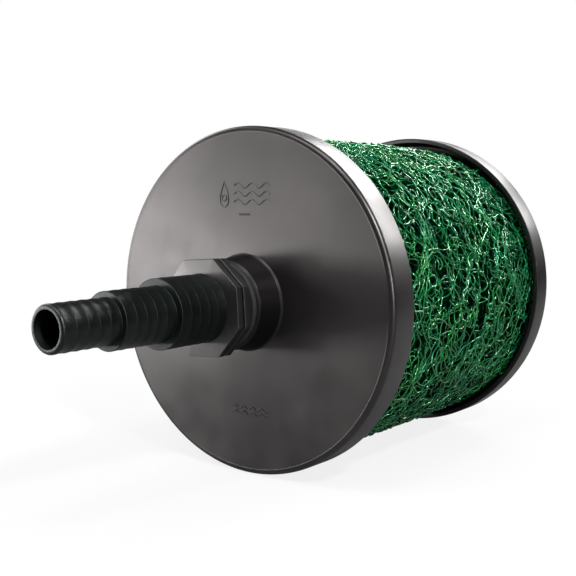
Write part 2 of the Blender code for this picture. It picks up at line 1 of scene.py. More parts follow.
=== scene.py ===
"""Looks of the foot valve: moulded caps and hose tail, the tangled fibre mat, finishes, light and camera.

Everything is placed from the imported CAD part. The flow axis is Y, the hose tail points to -Y and Z is up.
Lengths are in metres.
"""

import collections
import functools
import math

import bmesh
import bpy
import numpy as np
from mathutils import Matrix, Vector


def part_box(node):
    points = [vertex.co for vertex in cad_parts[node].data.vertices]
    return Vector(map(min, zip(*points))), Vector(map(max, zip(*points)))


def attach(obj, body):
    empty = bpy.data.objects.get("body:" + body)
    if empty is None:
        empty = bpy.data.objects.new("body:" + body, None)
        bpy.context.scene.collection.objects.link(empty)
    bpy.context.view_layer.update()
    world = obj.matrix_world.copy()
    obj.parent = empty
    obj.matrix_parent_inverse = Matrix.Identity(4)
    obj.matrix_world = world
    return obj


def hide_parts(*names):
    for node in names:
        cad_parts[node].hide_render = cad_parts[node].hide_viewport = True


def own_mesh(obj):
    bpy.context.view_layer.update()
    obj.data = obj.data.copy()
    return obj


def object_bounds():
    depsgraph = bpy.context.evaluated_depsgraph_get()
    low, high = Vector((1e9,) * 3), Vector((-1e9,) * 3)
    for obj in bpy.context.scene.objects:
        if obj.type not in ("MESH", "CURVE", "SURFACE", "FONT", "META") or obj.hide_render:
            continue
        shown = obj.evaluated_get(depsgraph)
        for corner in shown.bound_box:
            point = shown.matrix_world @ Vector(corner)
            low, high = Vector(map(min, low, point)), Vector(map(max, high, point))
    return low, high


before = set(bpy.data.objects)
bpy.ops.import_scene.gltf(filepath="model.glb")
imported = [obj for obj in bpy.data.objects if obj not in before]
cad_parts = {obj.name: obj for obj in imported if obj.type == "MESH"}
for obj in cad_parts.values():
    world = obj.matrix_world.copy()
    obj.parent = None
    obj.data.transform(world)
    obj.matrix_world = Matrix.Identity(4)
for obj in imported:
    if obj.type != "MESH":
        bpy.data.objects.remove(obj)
cad_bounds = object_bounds()

MM = 0.001
FULL_TURN = 2 * math.pi

# meshes
FINE_SEGMENTS = 256         # sides of the caps
TAIL_SEGMENTS = 192         # sides of the hose tail, a multiple of twice its collar's
KNOB_SEGMENTS = 192
SMALL_SEGMENTS = 96         # sides of the small turned pieces
SHARP_ANGLE = math.radians(32)
LEAST_TURN = math.radians(8)        # a corner that turns less than this isn't rounded
EDGE_SHARE = 0.45           # how much of an edge one rounded corner may take
SECTION_TOLERANCE = 3e-6    # how far from a section plane a CAD vertex may stand
SAME_RADIUS = 0.05 * MM     # rings closer than this in radius belong to one cylinder

# threads and moulded shapes
THREAD_PITCH = 2.309 * MM
THREAD_DEPTH = 1.2 * MM
THREAD_RINGS = 10           # rings of points in one turn of thread
BOSS_LEAD_IN = 0.8 * MM     # plain bore at each end of the boss's thread
TAIL_LEAD_IN = 0.6 * MM     # plain spigot between the collar and the tail's thread
RIM_ROUNDING = 6 * MM
EDGE_ROUNDING = 0.5 * MM     # of the caps
KNOB_ROUNDING = 0.8 * MM
SMALL_ROUNDING = 0.25 * MM
COLLAR_SIDES = 8
COLLAR_TWIST = math.radians(4)
BARB_SWELLS = (0.22 * MM, 0.12 * MM, 0.07 * MM)     # how deep each hose step's barbs are, from the tip on
TIP_NOSE, STEP_NOSE = 1.6 * MM, 0.35 * MM           # how far the front edges of the steps are eased
KNOB_LOBES = 6
KNOB_LOBE_DEPTH = 3.5 * MM
KNOB_CORE = 15.2 * MM       # the knob's lobes are cut only outside this radius
CAGE_COLUMNS = 12
CAGE_FIRST = 0.75           # where the first slot's middle stands, in cells from +X
CAGE_SLOT_SQUARENESS = 7    # 2 would make the slots elliptical

# colours and gloss of the caps
CAP_COLOUR = (0.0018, 0.0016, 0.0016)
CAP_GLOSS = (1, 0.93, 0.92)
CAP_ROUGHNESS = 0.36

# fibre mat
MAT_SEED = 7
MAT_LIMIT = 190000          # most triangles in one piece of the mat
MAT_END_GAP = 0.4 * MM      # kept free at both ends of the CAD sleeve
MAT_TAPER_START = 0.093     # Y from which the mat is drawn in towards its rear end
MAT_TAPER_SHARE = 0.7       # how much of the CAD sleeve's taper the strands take up
MAT_SAG = 0.3               # the underside is drawn in less than the top, by twice this share
STRAND_SIDES = 4
STRAND_MEMORY = 6 * MM      # length along a strand over which it forgets how it curled
STRAND_STEEPEST = 0.9       # most that a strand rises or sinks for each metre of its length
WALL_MARGIN = 0.7 * MM      # strands turn back this far from their layer's two radii
WALL_PUSH = 0.9 / MM**2     # how firmly they do
LOOSE_SHARE = 0.1           # share of strands that stand out over the taper
LOOSE_REACH = 3.2 * MM
GOLDEN_ANGLE = math.pi * (3 - math.sqrt(5))
# One layer of strands: how many, how long, and how far apart their points are; the layer's two radii; how
# sharply they curl and how firmly they settle back to running round the mat, in radians a metre; how steeply
# they rise and sink; and their own radius.
Strands = collections.namedtuple("Strands", "count length step inner outer curl settle rise radius")
MAT_LAYERS = (
    # long strands wound round the outside, loops between them, and three layers further in
    Strands(110, 170 * MM, 1.5 * MM, 92.5 * MM, 95.1 * MM, 0.08 / MM, 0.020 / MM, 0.18, 0.42 * MM),
    Strands(800, 55 * MM, 1.15 * MM, 89 * MM, 95.1 * MM, 0.20 / MM, 0.006 / MM, 0.36, 0.40 * MM),
    Strands(520, 75 * MM, 1.5 * MM, 81 * MM, 92 * MM, 0.18 / MM, 0.004 / MM, 0.40, 0.42 * MM),
    Strands(700, 140 * MM, 3.0 * MM, 66 * MM, 84 * MM, 0.13 / MM, 0.0, 0.35, 0.80 * MM),
    Strands(450, 150 * MM, 3.2 * MM, 54.6 * MM, 70 * MM, 0.12 / MM, 0.0, 0.30, 0.80 * MM),
)

# pieces that keep their CAD mesh, and their slots
KEPT_NODES = {
    "spring_guide": "inner_plastic",
    "poppet_nut": "stainless",
    "seat_clip": "stainless",
    "stud_clip": "stainless",
}
# pieces that are turned again with more sides, and their bodies and slots
FINER_NODES = {
    "valve_body": ("housing", "inner_plastic"),
    "valve_gasket": ("housing", "rubber"),
    "seat_ring": ("housing", "white_plastic"),
    "seat_oring": ("housing", "rubber"),
    "cage_end_plate": ("housing", "inner_plastic"),
    "clamp_insert": ("housing", "brass_insert"),
    "front_cage_seal": ("housing", "rubber"),
    **{f"valve_screw_{number}": ("housing", "stainless") for number in range(1, 5)},
    "poppet": ("poppet_body", "white_plastic"),
    "poppet_seal": ("poppet_body", "rubber"),
    "tail_gasket": ("tail_carrier", "rubber"),
    "rear_cage_seal": ("rear_cover", "rubber"),
    "knob_washer": ("rear_cover", "rubber"),
    "clamp_stud": ("knob", "stainless"),
}

# light and camera, by azimuth from the hose side towards +X and elevation, in degrees
SoftBox = collections.namedtuple("SoftBox", "name azimuth elevation distance width height power")
SOFT_BOXES = (
    SoftBox("rear_right_low", 145, 14, 1.1, 0.5, 0.3, 0.4),
    SoftBox("rear_right", 152, 28, 1.1, 0.2, 0.35, 5.5),
    SoftBox("rear_middle", 167, 38, 1.1, 0.3, 0.2, 4.4),
    SoftBox("rear", 187, 42, 1.1, 0.5, 0.25, 5.5),
    SoftBox("rear_low", 186, 25, 1.1, 0.35, 0.15, 0.3),
    SoftBox("rear_left", -144, 16, 1.1, 0.4, 0.3, 0.8),
    SoftBox("top_front", 30, 66, 1.1, 0.2, 0.2, 5.0),
    SoftBox("camera_right", 60, 38, 1.1, 0.1, 0.1, 15.0),
    SoftBox("camera_level", 66, 10, 1.1, 0.1, 0.1, 5.5),
    SoftBox("front", -8, 52, 1.1, 0.6, 0.5, 8.8),
    SoftBox("front_left", -35, 2, 1.1, 0.35, 0.5, 2.2),
    SoftBox("left_low", -50, -4, 1.0, 0.4, 0.16, 5.5),
    SoftBox("left_strip", -70, 6, 1.0, 0.6, 0.5, 4.2),
    SoftBox("left_high", -90, 35, 1.1, 0.55, 0.5, 5.0),
)
LIGHT_AIM = Vector((0, 0.06, 0))
CAMERA_AZIMUTH = math.radians(37.9)
CAMERA_ELEVATION = math.radians(5.73)
CAMERA_LENS = 60.4
CAMERA_DISTANCE = 553.06 * MM       # from the front disc's middle, along the view
CAMERA_RIGHT, CAMERA_UP = 24.85 * MM, 8.16 * MM     # shift across the view


# ---- profiles and turned meshes ----------------------------------------------------------------
def node_axis(node):
    """Where a CAD node's own axis, parallel to Y, crosses the XZ plane."""
    low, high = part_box(node)
    return (low.x + high.x) / 2, (low.z + high.z) / 2


@functools.cache
def outline_of(node, angle=0.0):
    """The CAD node's section at an angle round its own axis, as an ordered loop of (y, radius) rows."""
    axis_x, axis_z = node_axis(node)
    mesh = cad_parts[node].data
    points = {}
    for vertex in mesh.vertices:
        x, z = vertex.co.x - axis_x, vertex.co.z - axis_z
        radius = x * math.cos(angle) + z * math.sin(angle)
        off_plane = abs(z * math.cos(angle) - x * math.sin(angle))
        if off_plane < SECTION_TOLERANCE and radius > -1e-6:
            points[vertex.index] = (round(vertex.co.y, 5), round(radius, 5))
    links = {point: set() for point in points.values()}
    for edge in mesh.edges:
        one, other = (points.get(index) for index in edge.vertices)
        if one and other and one != other:
            links[one].add(other)
            links[other].add(one)
    close_gaps(links)
    loop = [min(links)]
    while True:
        onward = [point for point in sorted(links[loop[-1]]) if point not in loop]
        if not onward:
            return np.array(loop)
        loop.append(onward[0])


def close_gaps(links):
    """Joins loose ends that stand at the same y, and runs the others to the axis."""
    loose = sorted(point for point, others in links.items() if len(others) == 1)
    while loose:
        point = loose.pop()
        mate = next((other for other in loose if other[0] == point[0]), None)
        if mate is None:
            mate = (point[0], 0.0)
            links[mate] = set()
        else:
            loose.remove(mate)
        links[point].add(mate)
        links[mate].add(point)
    ends = [point for point, others in links.items() if len(others) == 1]
    if ends:
        links[ends[0]].add(ends[1])
        links[ends[1]].add(ends[0])


def rounded(loop, radius, steps=4):
    """The loop with each corner off the axis rounded. radius is a length, or gives one for a corner."""
    points = []
    for k, corner in enumerate(loop):
        before, after = loop[k - 1] - corner, loop[(k + 1) % len(loop)] - corner
        long_before, long_after = np.hypot(*before), np.hypot(*after)
        turn = math.pi - math.acos(np.clip(before @ after / (long_before * long_after), -1, 1))
        if turn < LEAST_TURN or corner[1] < 1e-6:
            points.append(corner)
            continue
        wanted = radius(corner) if callable(radius) else radius
        reach = min(wanted * math.tan(turn / 2), EDGE_SHARE * long_before, EDGE_SHARE * long_after)
        start, end = corner + before / long_before * reach, corner + after / long_after * reach
        for w in np.linspace(0, 1, steps + 1):
            points.append((1 - w) ** 2 * start + 2 * w * (1 - w) * corner + w**2 * end)
    return np.array(points)


def divided(loop, spacing, radius):
    """The loop with extra points along its edges that run at the given radius."""
    points = []
    for k, here in enumerate(loop):
        after = loop[(k + 1) % len(loop)]
        points.append(here)
        if abs(here[1] - radius) < SAME_RADIUS and abs(after[1] - radius) < SAME_RADIUS:
            count = int(abs(after[0] - here[0]) / spacing)
            points += [here + (after - here) * w for w in np.linspace(0, 1, count + 2)[1:-1]]
    return np.array(points)


def placed(name, mesh, finish, body):
    """A mesh as an object of the scene, with its finish, that rides on a body."""
    mesh.materials.append(finish)
    obj = bpy.data.objects.new(name, mesh)
    bpy.context.scene.collection.objects.link(obj)
    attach(obj, body)
    return obj


def mesh_object(name, points, faces, finish, body, slot):
    """A smooth-shaded piece from points and faces, with its doubled points welded."""
    mesh = bpy.data.meshes.new(name)
    mesh.from_pydata(np.asarray(points).tolist(), [], np.asarray(faces).tolist())
    builder = bmesh.new()
    builder.from_mesh(mesh)
    bmesh.ops.remove_doubles(builder, verts=builder.verts, dist=1e-7)
    bmesh.ops.recalc_face_normals(builder, faces=builder.faces)
    builder.to_mesh(mesh)
    builder.free()
    mesh.shade_smooth()
    mesh.set_sharp_from_angle(angle=SHARP_ANGLE)
    return placed(name, mesh, finish, body)


def turned(name, loop, segments, finish, body, slot, shape=None, axis=(0, 0), first=0.0):
    """The loop turned about an axis parallel to Y. shape(angles, y, radius) may change a ring's radius."""
    angles = first + np.linspace(0, FULL_TURN, segments, endpoint=False)
    rings = []
    for y, radius in loop:
        reach = np.full(segments, radius) if shape is None else shape(angles, y, radius)
        x, z = axis[0] + reach * np.cos(angles), axis[1] + reach * np.sin(angles)
        rings.append(np.stack([x, np.full(segments, y), z], 1))
    points = np.concatenate(rings)
    ring = np.arange(len(loop))[:, None] * segments
    after = (np.roll(np.arange(len(loop)), -1) * segments)[:, None]
    side = np.arange(segments)[None, :]
    nxt = (side + 1) % segments
    faces = np.stack([ring + side, ring + nxt, after + nxt, after + side], -1).reshape(-1, 4)
    return mesh_object(name, points, faces, finish, body, slot)


def turned_again(node, finish, body, slot):
    """A finer version of a turned CAD node, with softened edges, in its place."""
    loop = rounded(outline_of(node), SMALL_ROUNDING)
    obj = turned(node + "_fine", loop, SMALL_SEGMENTS, finish, body, slot, axis=node_axis(node))
    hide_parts(node)
    return obj


# ---- finishes ----------------------------------------------------------------------------------
class Finish:
    """A material whose nodes are added by short calls."""

    def __init__(self, name, roughness, metallic=0.0):
        self.material = bpy.data.materials.new(name)
        self.material.use_nodes = True
        self.nodes = self.material.node_tree.nodes
        self.links = self.material.node_tree.links
        self.shader = self.nodes["Principled BSDF"]
        self.shader.inputs["Roughness"].default_value = roughness
        self.shader.inputs["Metallic"].default_value = metallic
        self.place = self.nodes.new("ShaderNodeTexCoord").outputs["Object"]

    def put(self, socket, value):
        """Links an output to a socket, or sets the socket to a plain value."""
        if hasattr(value, "is_linked"):
            self.links.new(value, socket)
        else:
            socket.default_value = value

    def set(self, socket, value):
        """Puts a value in the shader's own socket."""
        self.put(self.shader.inputs[socket], value)

    def noise(self, scale, detail=3.0, stretch=(1, 1, 1)):
        """Noise of a scale in cells a metre. A stretch below 1 draws the cells out along that axis."""
        mapping = self.nodes.new("ShaderNodeMapping")
        mapping.inputs["Scale"].default_value = stretch
        self.links.new(self.place, mapping.inputs["Vector"])
        node = self.nodes.new("ShaderNodeTexNoise")
        node.inputs["Scale"].default_value = scale
        node.inputs["Detail"].default_value = detail
        self.links.new(mapping.outputs["Vector"], node.inputs["Vector"])
        return node.outputs["Fac"]

    def spread(self, source, low, high, to_low=0.0, to_high=1.0):
        """Maps a value smoothly from one range to another, and holds it there."""
        node = self.nodes.new("ShaderNodeMapRange")
        node.interpolation_type = "SMOOTHSTEP"
        names = ("Value", "From Min", "From Max", "To Min", "To Max")
        for name, value in zip(names, (source, low, high, to_low, to_high)):
            self.put(node.inputs[name], value)
        return node.outputs["Result"]

    def maths(self, operation, one, other):
        node = self.nodes.new("ShaderNodeMath")
        node.operation = operation
        self.put(node.inputs[0], one)
        self.put(node.inputs[1], other)
        return node.outputs["Value"]

    def blend(self, share, one, other):
        """A colour between two others, each a plain one or an output."""
        node = self.nodes.new("ShaderNodeMix")
        node.data_type = "RGBA"
        self.put(node.inputs[0], share)
        self.put(node.inputs[6], one if hasattr(one, "is_linked") else (*one, 1.0))
        self.put(node.inputs[7], other if hasattr(other, "is_linked") else (*other, 1.0))
        return node.outputs[2]

    def bump(self, height, depth, strength=1.0):
        """Adds bumps on top of the earlier ones."""
        node = self.nodes.new("ShaderNodeBump")
        node.inputs["Strength"].default_value = strength
        node.inputs["Distance"].default_value = depth
        self.put(node.inputs["Height"], height)
        earlier = self.shader.inputs["Normal"]
        if earlier.is_linked:
            self.links.new(earlier.links[0].from_socket, node.inputs["Normal"])
        self.links.new(node.outputs["Normal"], earlier)

    def vector(self, operation, one, other=None):
        node = self.nodes.new("ShaderNodeVectorMath")
        node.operation = operation
        self.put(node.inputs[0], one)
        if other is not None:
            self.put(node.inputs[1], other)
        return node

    def distance_from_axis(self):
        """How far a point is from the flow axis."""
        flat = self.vector("MULTIPLY", self.place, (1, 0, 1)).outputs["Vector"]
        return self.vector("LENGTH", flat).outputs["Value"]


def moulded_plastic(name, colour, roughness, grain=0.006 * MM, wear=0.5, gloss=(1, 1, 1)):
    """Injection-moulded plastic: faint clouding, fine grain, hairline scratches and a little pale dust."""
    finish = Finish(name, roughness)
    clouds = finish.noise(35, 4)
    fine = finish.noise(2600, 2)
    scratches = finish.spread(finish.noise(900, 2, (1, 0.5, 0.03)), 0.66, 0.72)
    dust = finish.maths("MULTIPLY", finish.spread(finish.noise(90, 6), 0.52, 0.8), 0.10 * wear)
    paler = tuple(min(1.0, 1.5 * c + 0.006) for c in colour)
    body = finish.blend(finish.spread(clouds, 0.3, 0.7), colour, tuple(1.25 * c for c in colour))
    finish.set("Base Color", finish.blend(dust, body, paler))
    patchy = finish.spread(clouds, 0.3, 0.7, roughness - 0.03, roughness + 0.04)
    scratched = finish.maths("MULTIPLY", scratches, -0.06 * wear)
    finish.set("Roughness", finish.maths("ADD", patchy, scratched))
    finish.bump(clouds, 0.05 * MM, 0.3)
    finish.bump(fine, grain, 0.6)
    finish.set("Specular Tint", (*gloss, 1))
    return finish


def tail_plastic():
    """The hose tail's plastic: dull steps with fine lines along the axis, and a glossier collar."""
    finish = moulded_plastic("tail_plastic", (0.0005, 0.0009, 0.0009), 0.41)
    steps_end, collar_start = 18.9 * MM, 19.2 * MM      # radii
    collar = finish.spread(finish.distance_from_axis(), steps_end, collar_start)
    finish.set("Specular IOR Level", finish.spread(collar, 0.0, 1.0, 0.25, 0.78))
    finish.set("Specular Tint", finish.blend(collar, (0.92, 1, 0.98), (1, 0.95, 0.94)))
    finish.bump(finish.noise(1500, 3, (1, 0.05, 1)), 0.035 * MM, 0.6)
    finish.bump(finish.noise(800, 3), 0.03 * MM, 0.5)
    return finish


def front_cap_plastic():
    """The front cap's plastic: as the rear cap's, but mottled, and with painted shade on the boss: it
    reflects far less than the disc, in place of the shade of the hose tail's collar.
    """
    finish = moulded_plastic("front_cap_plastic", CAP_COLOUR, CAP_ROUGHNESS, gloss=CAP_GLOSS)
    boss_shade_radius = 27.4 * MM
    mottled = finish.spread(finish.noise(17, 4), 0.35, 0.65, 0.42, 0.57)
    # painted shade: inside the boss's radius the reflection drops to 0.16, in place of the shade the collar
    # casts there
    gloss = finish.spread(finish.distance_from_axis(), boss_shade_radius, boss_shade_radius + MM, 0.16, mottled)
    finish.set("Specular IOR Level", gloss)
    return finish


def green_fibre():
    """Green drawn fibre: glossy, with a tone of its own for each strand, and painted shade towards the mat's
    core: darker and without gloss there.
    """
    finish = Finish("green_fibre", 0.28)
    tone = finish.nodes.new("ShaderNodeAttribute")
    tone.attribute_name = "tone"
    # painted shade: 0 in the mat's core, 1 at its outside; the strands' colour darkens and their gloss,
    # metal and coat fade with it, in place of the shade of the strands above
    unshaded_share = finish.spread(finish.distance_from_axis(), 84 * MM, 94.5 * MM)
    strand = finish.blend(tone.outputs["Fac"], (0.0002, 0.052, 0.016), (0.002, 0.145, 0.050))
    blotches = finish.spread(finish.noise(38, 3), 0.4, 0.7, 0.0, 0.65)
    warmer = finish.blend(blotches, strand, (0.0013, 0.11, 0.005))
    # the near-black green is the painted shade of the deep strands
    finish.set("Base Color", finish.blend(unshaded_share, (0.0001, 0.009, 0.003), warmer))
    finish.set("Metallic", finish.maths("MULTIPLY", unshaded_share, 0.3))
    finish.set("Roughness", finish.spread(finish.noise(700, 2), 0.3, 0.7, 0.15, 0.26))
    finish.set("Specular IOR Level", unshaded_share)
    finish.set("Specular Tint", (0.3, 1.0, 0.5, 1.0))
    finish.set("Coat Weight", finish.maths("MULTIPLY", unshaded_share, 0.55))
    finish.set("Coat IOR", 1.6)
    finish.set("Coat Roughness", 0.12)
    finish.bump(finish.noise(1500, 2), 0.04 * MM, 0.5)
    return finish


def metal(name, colour, roughness):
    """Bright metal with fine lines drawn along the axis and slight tarnish."""
    drawn = (1, 0.1, 1)
    finish = Finish(name, roughness, 1.0)
    tarnish = finish.spread(finish.noise(160, 5), 0.45, 0.75)
    finish.set("Base Color", finish.blend(tarnish, colour, tuple(0.72 * c for c in colour)))
    lines = finish.noise(1200, 3, drawn)
    finish.set("Roughness", finish.spread(lines, 0.3, 0.7, roughness - 0.06, roughness + 0.1))
    finish.bump(finish.noise(2200, 2, drawn), 0.01 * MM, 0.4)
    return finish


def make_finishes():
    """Every material of the object by name."""
    finishes = {
        "front_cap_plastic": front_cap_plastic(),
        "cap_plastic": moulded_plastic("cap_plastic", CAP_COLOUR, CAP_ROUGHNESS, gloss=CAP_GLOSS),
        "tail_plastic": tail_plastic(),
        "inner_plastic": moulded_plastic("inner_plastic", (0.012, 0.012, 0.013), 0.5),
        "white_plastic": moulded_plastic("white_plastic", (0.70, 0.71, 0.68), 0.42, wear=0.2),
        "rubber": moulded_plastic("rubber", (0.004, 0.004, 0.0045), 0.7, grain=0.02 * MM, wear=1.0),
        "stainless": metal("stainless", (0.62, 0.62, 0.62), 0.26),
        "brass_insert": metal("brass_insert", (0.72, 0.50, 0.20), 0.30),
        "green_fibre": green_fibre(),
    }
    return {name: finish.material for name, finish in finishes.items()}


# ---- caps --------------------------------------------------------------------------------------
def thread(depth, start, end):
    """Ring shape of a right-hand thread cut between two places along the axis and fading at both."""
    flank_slope, crest_flat = 3.2, 0.3

    def shape(angles, y, radius):
        if not start < y < end:
            return np.full(len(angles), radius)
        fade = min(1.0, (y - start) / THREAD_PITCH, (end - y) / THREAD_PITCH)
        phase = (y / THREAD_PITCH + angles / FULL_TURN) % 1
        ramp = np.clip(np.abs(phase - 0.5) * flank_slope - crest_flat, 0, 1)
        return radius + depth * fade * ramp

    return shape


def front_face():
    """The two ends, as (y, radius), of the front disc's face: at the boss and at the rim."""
    outline = outline_of("front_cap")
    rim = int(np.argmax(outline[:, 1] > 0.9 * outline[:, 1].max()))
    return outline[rim - 1], outline[rim]


def make_front_cap(finish):
    """The front disc with a fine bead round its face, its rounded rim and the boss with its thread."""
    low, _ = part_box("front_cap")
    bore = outline_of("tail_gasket")[:, 1].min()
    _, rim = front_face()

    def softness(corner):
        return RIM_ROUNDING if corner[1] > rim[1] + MM else EDGE_ROUNDING

    loop = outline_of("front_cap")
    # a very low bead on the face, just inside the rim
    offsets = ((0, -0.9), (-0.05, -0.65), (-0.05, -0.35), (0, -0.1))
    bead = [rim + np.array(offset) * MM for offset in offsets]
    place = int(np.argmax(loop[:, 1] >= rim[1]))
    loop = rounded(np.concatenate([loop[:place], bead, loop[place + 1:]]), softness, 6)
    loop = divided(loop, THREAD_PITCH / THREAD_RINGS, bore)
    bore_end = max(y for y, radius in loop if abs(radius - bore) < 2 * SAME_RADIUS)
    female = thread(THREAD_DEPTH, low.y + BOSS_LEAD_IN, bore_end - BOSS_LEAD_IN)

    def shape(angles, y, radius):
        if abs(radius - bore) > SAME_RADIUS:
            return np.full(len(angles), radius)
        return female(angles, y, radius)

    cap = turned("front_cap_moulding", loop, FINE_SEGMENTS, finish, "housing", "cap_plastic", shape)
    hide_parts("front_cap")


def make_rear_cap(finish):
    loop = rounded(outline_of("rear_cap"), EDGE_ROUNDING)
    cap = turned("rear_cap_moulding", loop, FINE_SEGMENTS, finish, "rear_cover", "cap_plastic")
    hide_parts("rear_cap")


def disc_height(x, z):
    """Y of the front cap's face at a place on it."""
    root, rim = front_face()
    return float(np.interp(math.hypot(x, z), (root[1], rim[1]), (root[0], rim[0])))


def raised_line(points, width, height, closed=False):
    """A half-round raised line along (x, z) points on the front cap's face, as points and faces."""
    points = np.array(points, float)
    if closed:
        along = np.roll(points, -1, 0) - np.roll(points, 1, 0)
    else:
        along = np.gradient(points, axis=0)
    along /= np.linalg.norm(along, axis=1)[:, None]
    across = np.stack([-along[:, 1], along[:, 0]], 1)
    section = [(-1, -0.4), (-0.8, 0.55), (-0.35, 1.0), (0.35, 1.0), (0.8, 0.55), (1, -0.4)]
    rows = []
    for point, side in zip(points, across):
        for offset, rise in section:
            x, z = point + side * offset * width / 2
            rows.append((x, disc_height(x, z) - rise * height, z))
    count, sides = len(points), len(section)
    faces = []
    for k in range(count if closed else count - 1):
        nxt = (k + 1) % count
        for s in range(sides):
            t = (s + 1) % sides
            faces.append((k * sides + s, k * sides + t, nxt * sides + t, nxt * sides + s))
    return rows, faces


def joined(parts):
    """Several (points, faces) lists as one."""
    points, faces = [], []
    for part_points, part_faces in parts:
        faces += [[index + len(points) for index in face] for face in part_faces]
        points += part_points
    return points, faces


def drop_outline(x, z, size, samples=36):
    """A water drop with its point up."""
    turn = np.linspace(0, FULL_TURN, samples, endpoint=False)
    pointed = np.sin(turn / 2) ** 1.4
    return np.stack([x + size * 0.62 * np.sin(turn) * pointed, z + size * np.cos(turn)], 1)


def wave(x, z, length, rise, waves, samples=40):
    """A wavy line that runs from (x, z) towards +X."""
    run = np.linspace(0, 1, samples)
    return np.stack([x + length * run, z + rise * np.sin(FULL_TURN * waves * run)], 1)


def ring_outline(x, z, radius, samples=24):
    turn = np.linspace(0, FULL_TURN, samples, endpoint=False)
    return np.stack([x + radius * np.cos(turn), z + radius * np.sin(turn)], 1)


def make_marks(finish):
    """Generic moulded marks in place of lettering: a drop beside waves, a row of studs and waves below."""
    wide, narrow = 0.9 * MM, 0.8 * MM
    tall, low = 0.4 * MM, 0.35 * MM
    drop_x, drop_z, drop_size = -15 * MM, 61.5 * MM, 7.2 * MM
    ring_z, ring_radius = 59.3 * MM, 1.7 * MM
    stud_z, stud_radius = 50.3 * MM, 0.45 * MM
    wave_length = 26 * MM
    parts = [
        raised_line(drop_outline(drop_x, drop_z, drop_size), wide, tall, True),
        raised_line(ring_outline(drop_x, ring_z, ring_radius), narrow, tall, True),
    ]
    for k in range(3):
        line = wave(-7.5 * MM, (66.4 - 4.6 * k) * MM, wave_length, rise=1.4 * MM, waves=2.5)
        parts.append(raised_line(line, wide, tall))
    for k in range(5):
        stud = ring_outline((-3.4 + 1.7 * k) * MM, stud_z, stud_radius, 10)
        parts.append(raised_line(stud, narrow, low, True))
    for k in range(2):
        line = wave(-9 * MM, (-61.2 - 3.0 * k) * MM, wave_length, rise=0.9 * MM, waves=4)
        parts.append(raised_line(line, narrow, low))
    mesh_object("moulded_marks", *joined(parts), finish, "housing", "cap_plastic")


# ---- hose tail ---------------------------------------------------------------------------------
def hose_step(start, end, crest, depth, barbs, nose):
    """Outside of one hose step: an eased nose, then barbs as low swells with a fine ridge on each crest."""
    points = [(start, crest - nose)]
    for w in np.linspace(0.2, 1, 5):
        turn = w * math.pi / 2
        points.append((start + nose * (1 - math.cos(turn)), crest - nose * (1 - math.sin(turn))))
    first = points[-1][0]
    pitch = (end - first) / barbs
    ridge = ((-0.2, 0.0), (-0.08, 0.06), (0.04, 0.06), (0.1, 0.0))
    for k in range(barbs):
        for w in np.linspace(0, 1, 15)[1:]:
            swell = depth * (1 - math.cos(FULL_TURN * w)) / 2
            points.append((first + (k + w) * pitch, crest - swell))
        if k < barbs - 1:
            y = points.pop()[0]
            points += [(y + along * MM, crest + rise * MM) for along, rise in ridge]
    return points


def smooth_steps(outline):
    """The CAD tail's outline with each hose step's angular barbs made into smooth ones."""
    points = list(map(tuple, outline))
    rises = np.diff(outline, axis=0)
    noses = [k for k, rise in enumerate(rises) if rise[0] > MM and abs(rise[0] - rise[1]) < 0.03 * MM]
    for number, k in reversed(list(enumerate(noses))):
        last = next(m for m in range(k + 2, len(rises)) if abs(rises[m][0]) < 0.01 * MM)
        barbs = (last - k) // 2
        nose = TIP_NOSE if number == 0 else STEP_NOSE
        start, end, crest = points[k][0], points[last][0], points[k + 1][1]
        points[k:last + 1] = hose_step(start, end, crest, BARB_SWELLS[number], barbs, nose)
    return np.array(points)


def make_hose_tail(finish):
    """The stepped hose tail with its octagonal collar and male thread."""
    half = math.pi / COLLAR_SIDES
    outline = outline_of("hose_tail", half + COLLAR_TWIST)
    gasket_low, gasket_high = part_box("tail_gasket")
    spigot = max(radius for y, radius in outline if y > gasket_low.y)
    corner_radius = outline[:, 1].max()
    collar = [y for y, radius in outline if radius > corner_radius - 0.01 * MM]
    collar_start, collar_end = min(collar), max(collar)

    def softness(corner):
        return 0.2 * MM if corner[0] < collar_start - MM else 0.3 * MM

    loop = divided(rounded(smooth_steps(outline), softness), THREAD_PITCH / THREAD_RINGS, spigot)
    male = thread(-THREAD_DEPTH, collar_end + TAIL_LEAD_IN, outline[:, 0].max())

    def shape(angles, y, radius):
        if radius > gasket_high.z + 0.5 * MM:
            off_flat = (angles - math.pi / 2 - COLLAR_TWIST + half) % (2 * half) - half
            return radius * math.cos(half) / np.cos(off_flat)
        if abs(radius - spigot) < SAME_RADIUS and y > collar_end:
            return male(angles, y, radius)
        return np.full(len(angles), radius)

    tail = turned("hose_tail_moulding", loop, TAIL_SEGMENTS, finish, "tail", "tail_plastic", shape,
                  first=COLLAR_TWIST)
    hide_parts("hose_tail")


# ---- fibre mat ---------------------------------------------------------------------------------
def mat_space():
    """The mat's two ends along Y, and how much its rear end is drawn in."""
    low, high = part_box("filter_mat")
    front, rear = low.y + MAT_END_GAP, high.y - MAT_END_GAP
    outline = outline_of("filter_mat")
    rear_radius = outline[outline[:, 0] > rear - MM][:, 1].max()
    return front, rear, MAT_TAPER_SHARE * (high.x - rear_radius)


